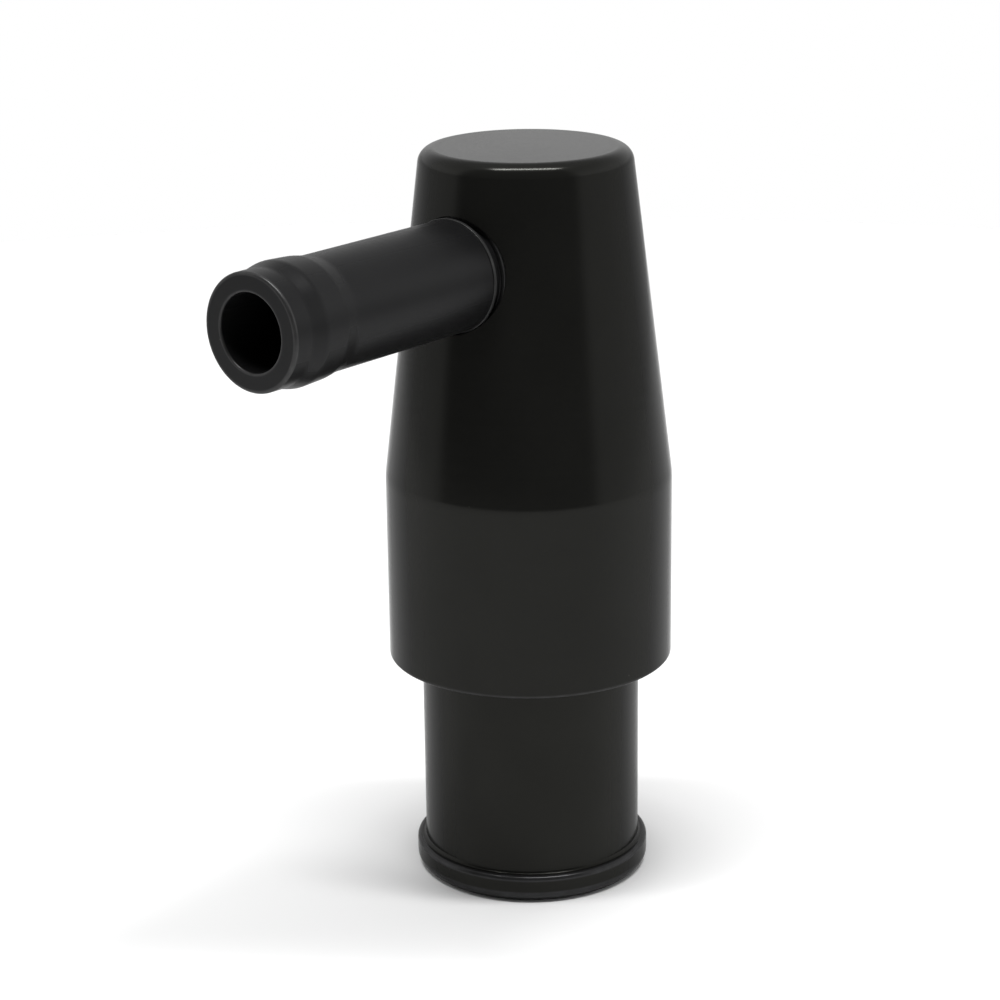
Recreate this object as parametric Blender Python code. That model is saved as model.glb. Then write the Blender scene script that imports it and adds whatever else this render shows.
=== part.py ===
"""Right-angle push-in check valve: tapered cap, beaded hose tube, push-in neck and a sprung plunger inside.

Frame: metres, +Z up, origin on the valve's axis at the lower end of the neck. The hose tube points along -X.
"""

import math

import bmesh
import bpy

MM = 0.001

# Fits between neighbouring pieces
FACE_GAP = 0.3 * MM      # between faces that seat on each other
RING_GAP = 0.1 * MM      # round seals and bushes, and under the closed seal disc
STEM_GAP = 0.08 * MM     # running clearance of the stem in its bush, on the radius
WELD = 0.001 * MM        # points closer than this become one

# How finely round pieces are divided
SHELL_STEPS = 48
INNER_STEPS = 32
SMALL_STEPS = 24
ARC_STEP_DEG = 22.5      # one facet of a rounded edge
SEAL_SIDES = 8           # sides of an O-ring's section
SMOOTH_ANGLE = math.radians(35)

# Cap: closed top, taper and skirt
TOP_Z = 64.7 * MM
TAPER_Z = 36.3 * MM      # where the taper meets the skirt
SKIRT_Z = 19.9 * MM      # the skirt's lower face
SKIRT_R = 12.4 * MM
TAPER_TOP_R = 8.95 * MM  # the taper carried on to the top plane
TOP_FILLET = 1.35 * MM
SKIRT_CHAMFER = 0.2 * MM
COLLAR_BORE_R = 10.7 * MM
COLLAR_BORE_TOP_Z = 31.3 * MM
GUIDE_BORE_R = 9.2 * MM
GUIDE_BORE_TOP_Z = 44.0 * MM
CHAMBER_R = 6.8 * MM
CHAMBER_TOP_Z = 61.0 * MM
CHAMBER_CHAMFER = 1.0 * MM

# Hose tube, measured outwards from the valve's axis
TUBE_Z = 55.4 * MM
TUBE_MOUTH = 33.7 * MM
TUBE_R = 4.69 * MM       # for a three-eighths inch hose
TUBE_BORE_R = 3.15 * MM
TUBE_EDGE = 0.2 * MM     # edge break at the mouth
TUBE_LIP_R = 4.74 * MM
BEAD_R = 5.05 * MM
BEAD_HEEL_R = 4.93 * MM
BEAD_FRONT = 1.8 * MM    # distances of the bead's four corners behind the mouth
BEAD_CREST = 3.3 * MM
BEAD_HEEL = 5.7 * MM
BEAD_BACK = 6.9 * MM
TUBE_COLLAR_R = 4.78 * MM
TUBE_COLLAR_OUT = 10.2 * MM
TUBE_COLLAR_IN = 8.75 * MM
TUBE_COLLAR_EDGE = 0.05 * MM
TUBE_RELIEF_R = 4.35 * MM  # groove round the collar
TUBE_RELIEF = (8.95 * MM, 9.9 * MM)
SPIGOT_R = 4.0 * MM
SPIGOT_IN = 6.2 * MM
TUBE_SEAT_R = 4.85 * MM  # counterbore in the taper
TUBE_SEAT_IN = 7.9 * MM
CUTTER_IN = 3.0 * MM
CUTTER_OUT = 15.0 * MM

# Neck
NECK_R = 9.525 * MM      # three-quarters of an inch across
NECK_BORE_R = 7.4 * MM
NECK_MOUTH_CHAMFER = 0.4 * MM
LIP_R = 10.3 * MM
LIP_EDGE = 0.95 * MM     # rounding of the lip's lower edge
LIP_BAND_Z = 1.95 * MM   # top of the lip's upright band
LIP_SHOULDER = 0.5 * MM
LIP_FILLET_TOP_Z = 2.75 * MM
COLLAR_R = 10.4 * MM
COLLAR_CHAMFER = 0.4 * MM
POCKET_R = 8.7 * MM      # counterbore that holds the seat ring
POCKET_Z = 22.0 * MM
NECK_GROOVE_R = 9.5 * MM
NECK_GROOVE_Z = (28.0 * MM, 29.4 * MM)
NECK_SEAL_RADIUS = 0.5 * MM

# Seat ring
SEAT_R = 8.5 * MM
SEAT_BORE_R = 4.6 * MM
SEAT_Z = (22.2 * MM, 25.1 * MM)
SEAT_LIP_R = (4.9 * MM, 5.6 * MM)
SEAT_LIP_Z = 25.7 * MM
SEAT_GROOVE_R = 7.7 * MM
SEAT_GROOVE_Z = (23.0 * MM, 24.1 * MM)
SEAT_SEAL_RADIUS = 0.4 * MM

# Retaining rings: open rings in a groove of the bore that they hold
RING_THICKNESS = 0.6 * MM
RING_OPENING_DEG = 36.0
RING_GROOVE_SLACK = 0.1 * MM
RING_GROOVE_DEPTH = 0.5 * MM
SEAT_RING_Z = 25.5 * MM
GUIDE_RING_Z = 40.0 * MM
RING_WIDTH = 1.3 * MM

# Plunger, shut on its seat
LIFT = 4.0 * MM
DISC_Z = (25.8 * MM, 26.6 * MM)
DISC_R = 6.0 * MM
HEAD_R = 6.0 * MM
HEAD_RIM_Z = 27.5 * MM
HEAD_TOP_Z = 28.7 * MM
HEAD_TOP_R = 5.2 * MM
BOSS_R = 3.7 * MM
BOSS_TOP_Z = 30.2 * MM
SHOULDER_R = 2.1 * MM
STEM_R = 1.5 * MM
STEM_TOP_Z = 47.0 * MM
STEM_CHAMFER = 0.3 * MM
SHANK_BOTTOM_Z = 22.2 * MM
SHANK_HOLE_R = 1.65 * MM
CLAMP_WASHER_R = 4.0 * MM
CLAMP_WASHER_Z = (25.15 * MM, 25.65 * MM)
NUT_FLATS = 5.5 * MM
NUT_Z = (22.65 * MM, 25.0 * MM)

# Stem guide
GUIDE_R = 9.0 * MM
GUIDE_INNER_R = 7.7 * MM
GUIDE_Z = (41.4 * MM, 43.8 * MM)
GUIDE_ARMS = 3
GUIDE_ARM_WIDTH = 2.0 * MM
HUB_R = 3.0 * MM
HUB_BOTTOM_Z = 39.9 * MM
HUB_BORE_R = 2.3 * MM
BUSH_R = 2.2 * MM
BUSH_FLANGE_R = 2.9 * MM
BUSH_FLANGE_Z = (43.9 * MM, 44.5 * MM)
BUMPER_R = 2.9 * MM
BUMPER_HEIGHT = 0.7 * MM
GUIDE_WASHER_R = (7.9 * MM, 9.0 * MM)
GUIDE_WASHER_Z = (40.8 * MM, 41.3 * MM)
SHIM_R = (3.2 * MM, 5.3 * MM)
SHIM_Z = (40.9 * MM, 41.3 * MM)

# Spring
WIRE_R = 0.25 * MM
COIL_R = 4.3 * MM
COIL_TURNS = 7.0
COIL_POINTS_PER_TURN = 16
COIL_CLOSED_TURNS = 1.0  # wound close at each end
WIRE_SIDES = 6

FINISHES = {
    "black_anodised": ((0.020, 0.020, 0.021), 0.38, 0.6),
    "black_tube": ((0.045, 0.045, 0.047), 0.5, 0.5),
    "nitrile": ((0.012, 0.012, 0.012), 0.7, 0.0),
    "stainless": ((0.55, 0.55, 0.54), 0.3, 1.0),
    "brass": ((0.72, 0.50, 0.20), 0.32, 1.0),
    "acetal": ((0.80, 0.79, 0.75), 0.45, 0.0),
    "spring_steel": ((0.42, 0.43, 0.45), 0.28, 1.0),
}


def clear_scene():
    for obj in list(bpy.data.objects):
        bpy.data.objects.remove(obj, do_unlink=True)


def material(name, finish):
    """A material of the piece's own, in one of the finishes."""
    colour, roughness, metallic = FINISHES[finish]
    made = bpy.data.materials.new(name)
    made.use_nodes = True
    shader = made.node_tree.nodes["Principled BSDF"]
    shader.inputs["Base Color"].default_value = (*colour, 1.0)
    shader.inputs["Roughness"].default_value = roughness
    shader.inputs["Metallic"].default_value = metallic
    made.diffuse_color = (*colour, 1.0)
    return made


def add_object(name, bm, finish):
    """Turn a bmesh into a named object, smooth on its round faces."""
    bmesh.ops.remove_doubles(bm, verts=bm.verts, dist=WELD)
    bmesh.ops.recalc_face_normals(bm, faces=bm.faces)
    mesh = bpy.data.meshes.new(name)
    bm.to_mesh(mesh)
    bm.free()
    mesh.shade_smooth()
    mesh.set_sharp_from_angle(angle=SMOOTH_ANGLE)
    mesh.materials.append(material(name, finish))
    obj = bpy.data.objects.new(name, mesh)
    bpy.context.collection.objects.link(obj)
    return obj


def arc(centre_r, centre_z, radius, start_deg, end_deg):
    """Points of an arc in a turned outline, ends included."""
    count = max(1, round(abs(end_deg - start_deg) / ARC_STEP_DEG))
    angles = [math.radians(start_deg + (end_deg - start_deg) * i / count) for i in range(count + 1)]
    return [(centre_r + radius * math.cos(a), centre_z + radius * math.sin(a)) for a in angles]


def spin_outline(bm, outline, steps):
    """Spin an outline of (radius, height) points round Z. One that doesn't end on the axis is closed first."""
    points = [bm.verts.new((radius, 0.0, height)) for radius, height in outline]
    edges = [bm.edges.new(pair) for pair in zip(points, points[1:])]
    if outline[0][0] > 0.0:
        edges.append(bm.edges.new((points[-1], points[0])))
    bmesh.ops.spin(
        bm, geom=points + edges, cent=(0, 0, 0), axis=(0, 0, 1), angle=math.tau, steps=steps, use_merge=True
    )


def turned(name, outline, steps, finish):
    bm = bmesh.new()
    spin_outline(bm, outline, steps)
    return add_object(name, bm, finish)


def washer(name, inner_r, outer_r, low_z, high_z, steps, finish):
    outline = [(inner_r, low_z), (outer_r, low_z), (outer_r, high_z), (inner_r, high_z)]
    return turned(name, outline, steps, finish)


def o_ring(name, mean_r, centre_z, section_r, steps):
    angles = [math.tau * i / SEAL_SIDES for i in range(SEAL_SIDES)]
    section = [(mean_r + section_r * math.cos(a), centre_z + section_r * math.sin(a)) for a in angles]
    return turned(name, section, steps, "nitrile")


def prism(bm, corners, low_z, high_z):
    """An upright prism on a flat outline of (x, y) corners."""
    base = bm.faces.new([bm.verts.new((x, y, low_z)) for x, y in corners])
    grown = bmesh.ops.extrude_face_region(bm, geom=[base])
    moved = [item for item in grown["geom"] if isinstance(item, bmesh.types.BMVert)]
    bmesh.ops.translate(bm, vec=(0.0, 0.0, high_z - low_z), verts=moved)


def as_tube(obj):
    """Lay a piece turned round Z along the hose tube's axis, so that its heights run outwards along -X."""
    obj.rotation_euler = (0.0, -math.pi / 2, 0.0)
    obj.location = (0.0, 0.0, TUBE_Z)
    return obj


def taper_radius(height):
    slope = (SKIRT_R - TAPER_TOP_R) / (TOP_Z - TAPER_Z)
    return SKIRT_R - slope * (height - TAPER_Z)


def groove(bore_r, low_z, high_z):
    """A retaining ring's groove, as outline points going up the bore's wall."""
    floor_r = bore_r + RING_GROOVE_DEPTH
    low = low_z - RING_GROOVE_SLACK
    high = high_z + RING_GROOVE_SLACK
    return [(bore_r, low), (floor_r, low), (floor_r, high), (bore_r, high)]


def build_valve_body():
    lean = math.atan2(SKIRT_R - TAPER_TOP_R, TOP_Z - TAPER_Z)
    fillet_z = TOP_Z - TOP_FILLET
    fillet_r = taper_radius(fillet_z) - TOP_FILLET / math.cos(lean)
    outline = [(0.0, TOP_Z)]
    outline += arc(fillet_r, fillet_z, TOP_FILLET, 90.0, math.degrees(lean))
    outline += [
        (SKIRT_R, TAPER_Z),
        (SKIRT_R, SKIRT_Z + SKIRT_CHAMFER),
        (SKIRT_R - SKIRT_CHAMFER, SKIRT_Z),
        (COLLAR_BORE_R, SKIRT_Z),
        (COLLAR_BORE_R, COLLAR_BORE_TOP_Z),
        (GUIDE_BORE_R, COLLAR_BORE_TOP_Z),
    ]
    outline += groove(GUIDE_BORE_R, GUIDE_RING_Z, GUIDE_RING_Z + RING_THICKNESS)
    outline += [
        (GUIDE_BORE_R, GUIDE_BORE_TOP_Z),
        (CHAMBER_R, GUIDE_BORE_TOP_Z),
        (CHAMBER_R, CHAMBER_TOP_Z - CHAMBER_CHAMFER),
        (CHAMBER_R - CHAMBER_CHAMFER, CHAMBER_TOP_Z),
        (0.0, CHAMBER_TOP_Z),
    ]
    body = turned("valve_body", outline, SHELL_STEPS, "black_anodised")
    cut = body.modifiers.new("tube_hole", "BOOLEAN")
    cut.operation = "DIFFERENCE"
    cut.solver = "EXACT"
    cut.object = tube_hole_cutter()
    return body


def tube_hole_cutter():
    """The stepped hole for the hose tube: a counterbore in the taper and a narrower hole through the wall."""
    hole_r = SPIGOT_R + RING_GAP
    outline = [
        (0.0, CUTTER_OUT),
        (TUBE_SEAT_R, CUTTER_OUT),
        (TUBE_SEAT_R, TUBE_SEAT_IN),
        (hole_r, TUBE_SEAT_IN),
        (hole_r, CUTTER_IN),
        (0.0, CUTTER_IN),
    ]
    cutter = as_tube(turned("tube_hole_cutter", outline, INNER_STEPS, "black_anodised"))
    cutter.hide_render = True
    cutter.display_type = "WIRE"
    return cutter


def build_hose_tube():
    relief_in, relief_out = TUBE_RELIEF
    outline = [
        (TUBE_BORE_R, SPIGOT_IN),
        (SPIGOT_R, SPIGOT_IN),
        (SPIGOT_R, TUBE_COLLAR_IN),
        (TUBE_COLLAR_R, TUBE_COLLAR_IN),
        (TUBE_COLLAR_R, relief_in),
        (TUBE_RELIEF_R, relief_in),
        (TUBE_RELIEF_R, relief_out),
        (TUBE_COLLAR_R, relief_out),
        (TUBE_COLLAR_R, TUBE_COLLAR_OUT - TUBE_COLLAR_EDGE),
        (TUBE_COLLAR_R - TUBE_COLLAR_EDGE, TUBE_COLLAR_OUT),
        (TUBE_R, TUBE_COLLAR_OUT),
        (TUBE_R, TUBE_MOUTH - BEAD_BACK),
        (BEAD_HEEL_R, TUBE_MOUTH - BEAD_HEEL),
        (BEAD_R, TUBE_MOUTH - BEAD_CREST),
        (TUBE_LIP_R, TUBE_MOUTH - BEAD_FRONT),
        (TUBE_LIP_R, TUBE_MOUTH - TUBE_EDGE),
        (TUBE_LIP_R - TUBE_EDGE, TUBE_MOUTH),
        (TUBE_BORE_R + TUBE_EDGE, TUBE_MOUTH),
        (TUBE_BORE_R, TUBE_MOUTH - TUBE_EDGE),
    ]
    return as_tube(turned("hose_tube", outline, INNER_STEPS, "black_tube"))


def build_tube_o_ring():
    room = TUBE_COLLAR_IN - TUBE_SEAT_IN
    section_r = room / 2 - RING_GAP
    mean_r = SPIGOT_R + RING_GAP + section_r
    return as_tube(o_ring("tube_o_ring", mean_r, TUBE_SEAT_IN + room / 2, section_r, INNER_STEPS))


def build_inlet_neck():
    collar_z = SKIRT_Z + FACE_GAP
    collar_top_z = COLLAR_BORE_TOP_Z - FACE_GAP
    groove_low, groove_high = NECK_GROOVE_Z
    outline = [
        (NECK_BORE_R, NECK_MOUTH_CHAMFER),
        (NECK_BORE_R + NECK_MOUTH_CHAMFER, 0.0),
    ]
    outline += arc(LIP_R - LIP_EDGE, LIP_EDGE, LIP_EDGE, -90.0, 0.0)
    outline += arc(LIP_R - LIP_SHOULDER, LIP_BAND_Z, LIP_SHOULDER, 0.0, 90.0)
    outline.append((NECK_R + LIP_FILLET_TOP_Z - LIP_BAND_Z - LIP_SHOULDER, LIP_BAND_Z + LIP_SHOULDER))
    outline += [
        (NECK_R, LIP_FILLET_TOP_Z),
        (NECK_R, collar_z),
        (COLLAR_R, collar_z),
        (COLLAR_R, groove_low),
        (NECK_GROOVE_R, groove_low),
        (NECK_GROOVE_R, groove_high),
        (COLLAR_R, groove_high),
        (COLLAR_R, collar_top_z - COLLAR_CHAMFER),
        (COLLAR_R - COLLAR_CHAMFER, collar_top_z),
        (POCKET_R, collar_top_z),
    ]
    outline += reversed(groove(POCKET_R, SEAT_RING_Z, SEAT_RING_Z + RING_THICKNESS))
    outline += [(POCKET_R, POCKET_Z), (NECK_BORE_R, POCKET_Z)]
    return turned("inlet_neck", outline, SHELL_STEPS, "black_anodised")


def build_neck_o_ring():
    mean_r = NECK_GROOVE_R + RING_GAP + NECK_SEAL_RADIUS
    return o_ring("neck_o_ring", mean_r, sum(NECK_GROOVE_Z) / 2, NECK_SEAL_RADIUS, SHELL_STEPS)


def build_valve_seat():
    low, high = SEAT_Z
    lip_in, lip_out = SEAT_LIP_R
    groove_low, groove_high = SEAT_GROOVE_Z
    outline = [
        (SEAT_BORE_R, low),
        (SEAT_R, low),
        (SEAT_R, groove_low),
        (SEAT_GROOVE_R, groove_low),
        (SEAT_GROOVE_R, groove_high),
        (SEAT_R, groove_high),
        (SEAT_R, high),
        (lip_out, high),
        ((lip_in + lip_out) / 2, SEAT_LIP_Z),
        (lip_in, SEAT_LIP_Z),
        (SEAT_BORE_R, high),
    ]
    return turned("valve_seat", outline, INNER_STEPS, "stainless")


def build_seat_o_ring():
    mean_r = SEAT_GROOVE_R + RING_GAP + SEAT_SEAL_RADIUS
    return o_ring("seat_o_ring", mean_r, sum(SEAT_GROOVE_Z) / 2, SEAT_SEAL_RADIUS, INNER_STEPS)


def build_retaining_ring(name, bore_r, low_z):
    """An open ring that springs out into its groove."""
    outer_r = bore_r + RING_GROOVE_DEPTH - RING_GROOVE_SLACK
    inner_r = bore_r - RING_WIDTH
    sweep = math.tau - math.radians(RING_OPENING_DEG)
    start = math.radians(RING_OPENING_DEG) / 2
    corners = []
    for radius, order in ((outer_r, range(INNER_STEPS + 1)), (inner_r, range(INNER_STEPS, -1, -1))):
        for i in order:
            angle = start + sweep * i / INNER_STEPS
            corners.append((radius * math.cos(angle), radius * math.sin(angle)))
    bm = bmesh.new()
    prism(bm, corners, low_z, low_z + RING_THICKNESS)
    return add_object(name, bm, "spring_steel")


def build_plunger():
    bumper_z = HUB_BOTTOM_Z - RING_GAP - BUMPER_HEIGHT
    shoulder_z = bumper_z - RING_GAP - LIFT
    outline = [
        (0.0, SHANK_BOTTOM_Z),
        (STEM_R - STEM_CHAMFER, SHANK_BOTTOM_Z),
        (STEM_R, SHANK_BOTTOM_Z + STEM_CHAMFER),
        (STEM_R, DISC_Z[1] + RING_GAP),
        (HEAD_R, DISC_Z[1] + RING_GAP),
        (HEAD_R, HEAD_RIM_Z),
        (HEAD_TOP_R, HEAD_TOP_Z),
        (BOSS_R, HEAD_TOP_Z),
        (BOSS_R, BOSS_TOP_Z - STEM_CHAMFER),
        (BOSS_R - STEM_CHAMFER, BOSS_TOP_Z),
        (SHOULDER_R, BOSS_TOP_Z),
        (SHOULDER_R, shoulder_z),
        (STEM_R, shoulder_z),
        (STEM_R, STEM_TOP_Z - STEM_CHAMFER),
        (STEM_R - STEM_CHAMFER, STEM_TOP_Z),
        (0.0, STEM_TOP_Z),
    ]
    return turned("plunger", outline, SMALL_STEPS, "brass")


def build_plunger_nut():
    """A hexagon nut with a round hole, on the plunger's threaded shank."""
    low, high = NUT_Z
    corner_r = NUT_FLATS / math.sqrt(3)
    bm = bmesh.new()
    rings = []
    for height in (low, high):
        hexagon = []
        hole = []
        for i in range(SMALL_STEPS):
            angle = math.tau * i / SMALL_STEPS
            to_flat = (angle + math.pi / 6) % (math.pi / 3) - math.pi / 6
            edge_r = corner_r * math.cos(math.pi / 6) / math.cos(math.pi / 6 - abs(to_flat))
            hexagon.append(bm.verts.new((edge_r * math.cos(angle), edge_r * math.sin(angle), height)))
            hole.append(bm.verts.new((SHANK_HOLE_R * math.cos(angle), SHANK_HOLE_R * math.sin(angle), height)))
        rings.append((hexagon, hole))
    (low_hex, low_hole), (high_hex, high_hole) = rings
    for i in range(SMALL_STEPS):
        j = (i + 1) % SMALL_STEPS
        for a, b in ((low_hex, high_hex), (high_hex, high_hole), (high_hole, low_hole), (low_hole, low_hex)):
            bm.faces.new((a[i], a[j], b[j], b[i]))
    return add_object("plunger_nut", bm, "stainless")


def build_stem_guide():
    """Outer ring, hub and three arms, joined into one piece."""
    low, high = GUIDE_Z
    ring = washer("stem_guide", GUIDE_INNER_R, GUIDE_R, low, high, SHELL_STEPS, "acetal")
    tools = [washer("guide_hub_tool", HUB_BORE_R, HUB_R, HUB_BOTTOM_Z, high, INNER_STEPS, "acetal")]
    inset = (HUB_R + HUB_BORE_R) / 2
    reach = (GUIDE_INNER_R + GUIDE_R) / 2
    for i in range(GUIDE_ARMS):
        half = GUIDE_ARM_WIDTH / 2
        bm = bmesh.new()
        prism(bm, [(inset, -half), (reach, -half), (reach, half), (inset, half)], low + RING_GAP, high - RING_GAP)
        arm = add_object(f"guide_arm_tool_{i}", bm, "acetal")
        arm.rotation_euler = (0.0, 0.0, math.tau * i / GUIDE_ARMS)
        tools.append(arm)
    for tool in tools:
        tool.hide_render = True
        tool.display_type = "WIRE"
        join = ring.modifiers.new(tool.name, "BOOLEAN")
        join.operation = "UNION"
        join.solver = "EXACT"
        join.object = tool
    return ring


def build_guide_bush():
    bore_r = STEM_R + STEM_GAP
    flange_low, flange_high = BUSH_FLANGE_Z
    outline = [
        (bore_r, HUB_BOTTOM_Z),
        (BUSH_R, HUB_BOTTOM_Z),
        (BUSH_R, flange_low),
        (BUSH_FLANGE_R, flange_low),
        (BUSH_FLANGE_R, flange_high),
        (bore_r, flange_high),
    ]
    return turned("guide_bush", outline, SMALL_STEPS, "brass")


def build_return_spring():
    """A compression spring with closed ends, swept by a round wire."""
    low_z = HEAD_TOP_Z + RING_GAP + WIRE_R
    high_z = SHIM_Z[0] - RING_GAP - WIRE_R
    closed_rise = 2 * WIRE_R + RING_GAP
    open_turns = COIL_TURNS - 2 * COIL_CLOSED_TURNS
    open_rise = high_z - low_z - 2 * closed_rise
    steps = round(COIL_TURNS * COIL_POINTS_PER_TURN)
    curve = bpy.data.curves.new("return_spring", "CURVE")
    curve.dimensions = "3D"
    curve.bevel_depth = WIRE_R
    curve.bevel_resolution = (WIRE_SIDES - 4) // 2
    curve.use_fill_caps = True
    wire = curve.splines.new("POLY")
    wire.points.add(steps)
    for i in range(steps + 1):
        turn = COIL_TURNS * i / steps
        first = min(turn, COIL_CLOSED_TURNS) / COIL_CLOSED_TURNS
        last = max(turn - COIL_TURNS + COIL_CLOSED_TURNS, 0.0) / COIL_CLOSED_TURNS
        middle = min(max(turn - COIL_CLOSED_TURNS, 0.0), open_turns) / open_turns
        height = low_z + closed_rise * (first + last) + open_rise * middle
        angle = math.tau * turn
        wire.points[i].co = (COIL_R * math.cos(angle), COIL_R * math.sin(angle), height, 1.0)
    curve.materials.append(material("return_spring", "spring_steel"))
    obj = bpy.data.objects.new("return_spring", curve)
    bpy.context.collection.objects.link(obj)
    return obj


def build_washers():
    hub_inner_r = STEM_R + STEM_GAP
    bumper_top_z = HUB_BOTTOM_Z - RING_GAP
    washer("seal_disc", SHANK_HOLE_R, DISC_R, *DISC_Z, INNER_STEPS, "nitrile")
    washer("seal_washer", SHANK_HOLE_R, CLAMP_WASHER_R, *CLAMP_WASHER_Z, SMALL_STEPS, "stainless")
    washer("spring_shim", *SHIM_R, *SHIM_Z, SMALL_STEPS, "stainless")
    washer("guide_washer", *GUIDE_WASHER_R, *GUIDE_WASHER_Z, INNER_STEPS, "stainless")
    washer("lift_bumper", hub_inner_r, BUMPER_R, bumper_top_z - BUMPER_HEIGHT, bumper_top_z, SMALL_STEPS, "nitrile")


def main():
    clear_scene()
    build_valve_body()
    build_hose_tube()
    build_tube_o_ring()
    build_inlet_neck()
    build_neck_o_ring()
    build_valve_seat()
    build_seat_o_ring()
    build_retaining_ring("seat_retaining_ring", POCKET_R, SEAT_RING_Z)
    build_retaining_ring("guide_retaining_ring", GUIDE_BORE_R, GUIDE_RING_Z)
    build_plunger()
    build_plunger_nut()
    build_stem_guide()
    build_guide_bush()
    build_washers()
    build_return_spring()


main()
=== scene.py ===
"""Looks of the right-angle check valve: fine pieces, finishes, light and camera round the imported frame."""

import math

import bmesh
import bpy
from mathutils import Matrix, Vector


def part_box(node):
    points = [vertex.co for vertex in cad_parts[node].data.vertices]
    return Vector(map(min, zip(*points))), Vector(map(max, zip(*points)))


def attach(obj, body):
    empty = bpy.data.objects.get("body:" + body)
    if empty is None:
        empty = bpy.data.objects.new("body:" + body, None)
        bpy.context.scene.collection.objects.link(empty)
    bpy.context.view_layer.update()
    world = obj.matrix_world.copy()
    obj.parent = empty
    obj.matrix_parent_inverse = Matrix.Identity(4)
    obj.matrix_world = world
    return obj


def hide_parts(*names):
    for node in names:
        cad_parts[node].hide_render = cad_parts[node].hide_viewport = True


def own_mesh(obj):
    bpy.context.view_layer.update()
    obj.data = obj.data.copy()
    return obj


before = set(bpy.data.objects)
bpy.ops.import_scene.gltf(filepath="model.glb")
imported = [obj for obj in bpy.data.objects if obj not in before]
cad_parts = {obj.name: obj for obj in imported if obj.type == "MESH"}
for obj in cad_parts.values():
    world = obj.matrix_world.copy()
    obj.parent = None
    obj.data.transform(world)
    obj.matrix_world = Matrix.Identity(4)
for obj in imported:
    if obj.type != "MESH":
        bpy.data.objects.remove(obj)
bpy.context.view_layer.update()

MM = 0.001
HOUSING = "housing"
PLUNGER = "plunger_group"

# ---- places and sizes that the frame gives ------------------------------------------------
body_low, body_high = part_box("valve_body")
neck_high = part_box("inlet_neck")[1]
tube_low, tube_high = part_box("hose_tube")
seat_low, seat_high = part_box("valve_seat")
disc_low, disc_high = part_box("seal_disc")
clamp_low, clamp_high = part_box("seal_washer")
nut_low, nut_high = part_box("plunger_nut")
stem_low, stem_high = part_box("plunger")
guide_low, guide_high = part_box("stem_guide")
bush_low, bush_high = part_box("guide_bush")
bumper_low, bumper_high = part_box("lift_bumper")
shim_low, shim_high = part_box("spring_shim")
washer_low, washer_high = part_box("guide_washer")
spring_low, spring_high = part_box("return_spring")
seat_ring_low, seat_ring_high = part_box("seat_retaining_ring")
guide_ring_low, guide_ring_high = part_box("guide_retaining_ring")

TOP_Z = body_high.z
SKIRT_Z = body_low.z
SKIRT_R = body_high.x
TUBE_Z = (tube_low.z + tube_high.z) / 2
TUBE_MOUTH = -tube_low.x
SPIGOT_IN = -tube_high.x
BEAD_R = (tube_high.z - tube_low.z) / 2
COLLAR_R = neck_high.x
COLLAR_TOP_Z = neck_high.z

# ---- sizes of details that a box doesn't give ---------------------------------------------
TAPER_Z = 36.3 * MM
TAPER_TOP_R = 8.95 * MM
TOP_FILLET = 1.35 * MM
COLLAR_BORE_R = 10.7 * MM
COLLAR_BORE_TOP_Z = 31.3 * MM
GUIDE_BORE_R = 9.2 * MM
GUIDE_BORE_TOP_Z = 44.0 * MM
CHAMBER_R = 6.8 * MM
CHAMBER_TOP_Z = 61.0 * MM
TUBE_R = 4.69 * MM
TUBE_BORE_R = 3.15 * MM
TUBE_LIP_R = 4.74 * MM
TUBE_COLLAR_R = 4.78 * MM
TUBE_COLLAR_OUT = 10.2 * MM
TUBE_COLLAR_IN = 8.75 * MM
TUBE_RELIEF_R = 4.35 * MM
TUBE_RELIEF = (8.95 * MM, 9.9 * MM)
SPIGOT_R = 4.0 * MM
SPIGOT_HOLE_R = 4.1 * MM
TUBE_SEAT_R = 4.85 * MM
TUBE_SEAT_IN = 7.9 * MM
HOLE_EDGE = 0.10 * MM
CUTTER_ENDS = (3.0 * MM, 15.0 * MM)
BEAD_START = 7.1 * MM    # these four are measured back from the tube's mouth
BEAD_HEEL = 5.7 * MM
BEAD_CREST = 3.3 * MM
BEAD_FRONT = 1.9 * MM
BEAD_HEEL_R = 4.93 * MM
NECK_R = 9.525 * MM
NECK_BORE_R = 7.4 * MM
LIP_R = 10.3 * MM
LIP_TOP_Z = 2.45 * MM
LIP_EDGE = 0.95 * MM
LIP_SHOULDER = 0.5 * MM
LIP_ROOT = 0.3 * MM
POCKET_R = 8.7 * MM
POCKET_Z = 22.0 * MM
NECK_GROOVE_R = 9.5 * MM
NECK_GROOVE_Z = (28.0 * MM, 29.4 * MM)
SEAT_BORE_R = 4.6 * MM
SEAT_LIP_R = (4.9 * MM, 5.6 * MM)
SEAT_FACE_Z = 25.1 * MM
SEAT_GROOVE_R = 7.7 * MM
SEAT_GROOVE_Z = (23.0 * MM, 24.1 * MM)
SHANK_HOLE_R = 1.65 * MM
STEM_R = 1.5 * MM
SHOULDER_R = 2.1 * MM
SHOULDER_GAP = 4.1 * MM    # up to the bumper at rest
HEAD_R = 6.0 * MM
HEAD_LOW_Z = 26.7 * MM
HEAD_RIM_Z = 27.5 * MM
HEAD_TOP_Z = 28.7 * MM
HEAD_TOP_R = 5.2 * MM
BOSS_R = 3.7 * MM
BOSS_TOP_Z = 30.2 * MM
NUT_FLATS = 5.5 * MM
NUT_FACE_R = 0.47 * NUT_FLATS
NUT_CHAMFER = math.radians(30)
NUT_TRIM = 0.2 * MM      # how far the trimming cone runs past the nut
THREAD_PITCH = 0.5 * MM
THREAD_DEPTH = 0.22 * MM
RING_GROOVE_DEPTH = 0.5 * MM
RING_SLACK = 0.1 * MM
RING_WIDTH = 1.3 * MM
RING_OPENING = math.radians(36)
RING_EAR = 2.1 * MM
RING_EAR_DEPTH = 1.0 * MM
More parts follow.
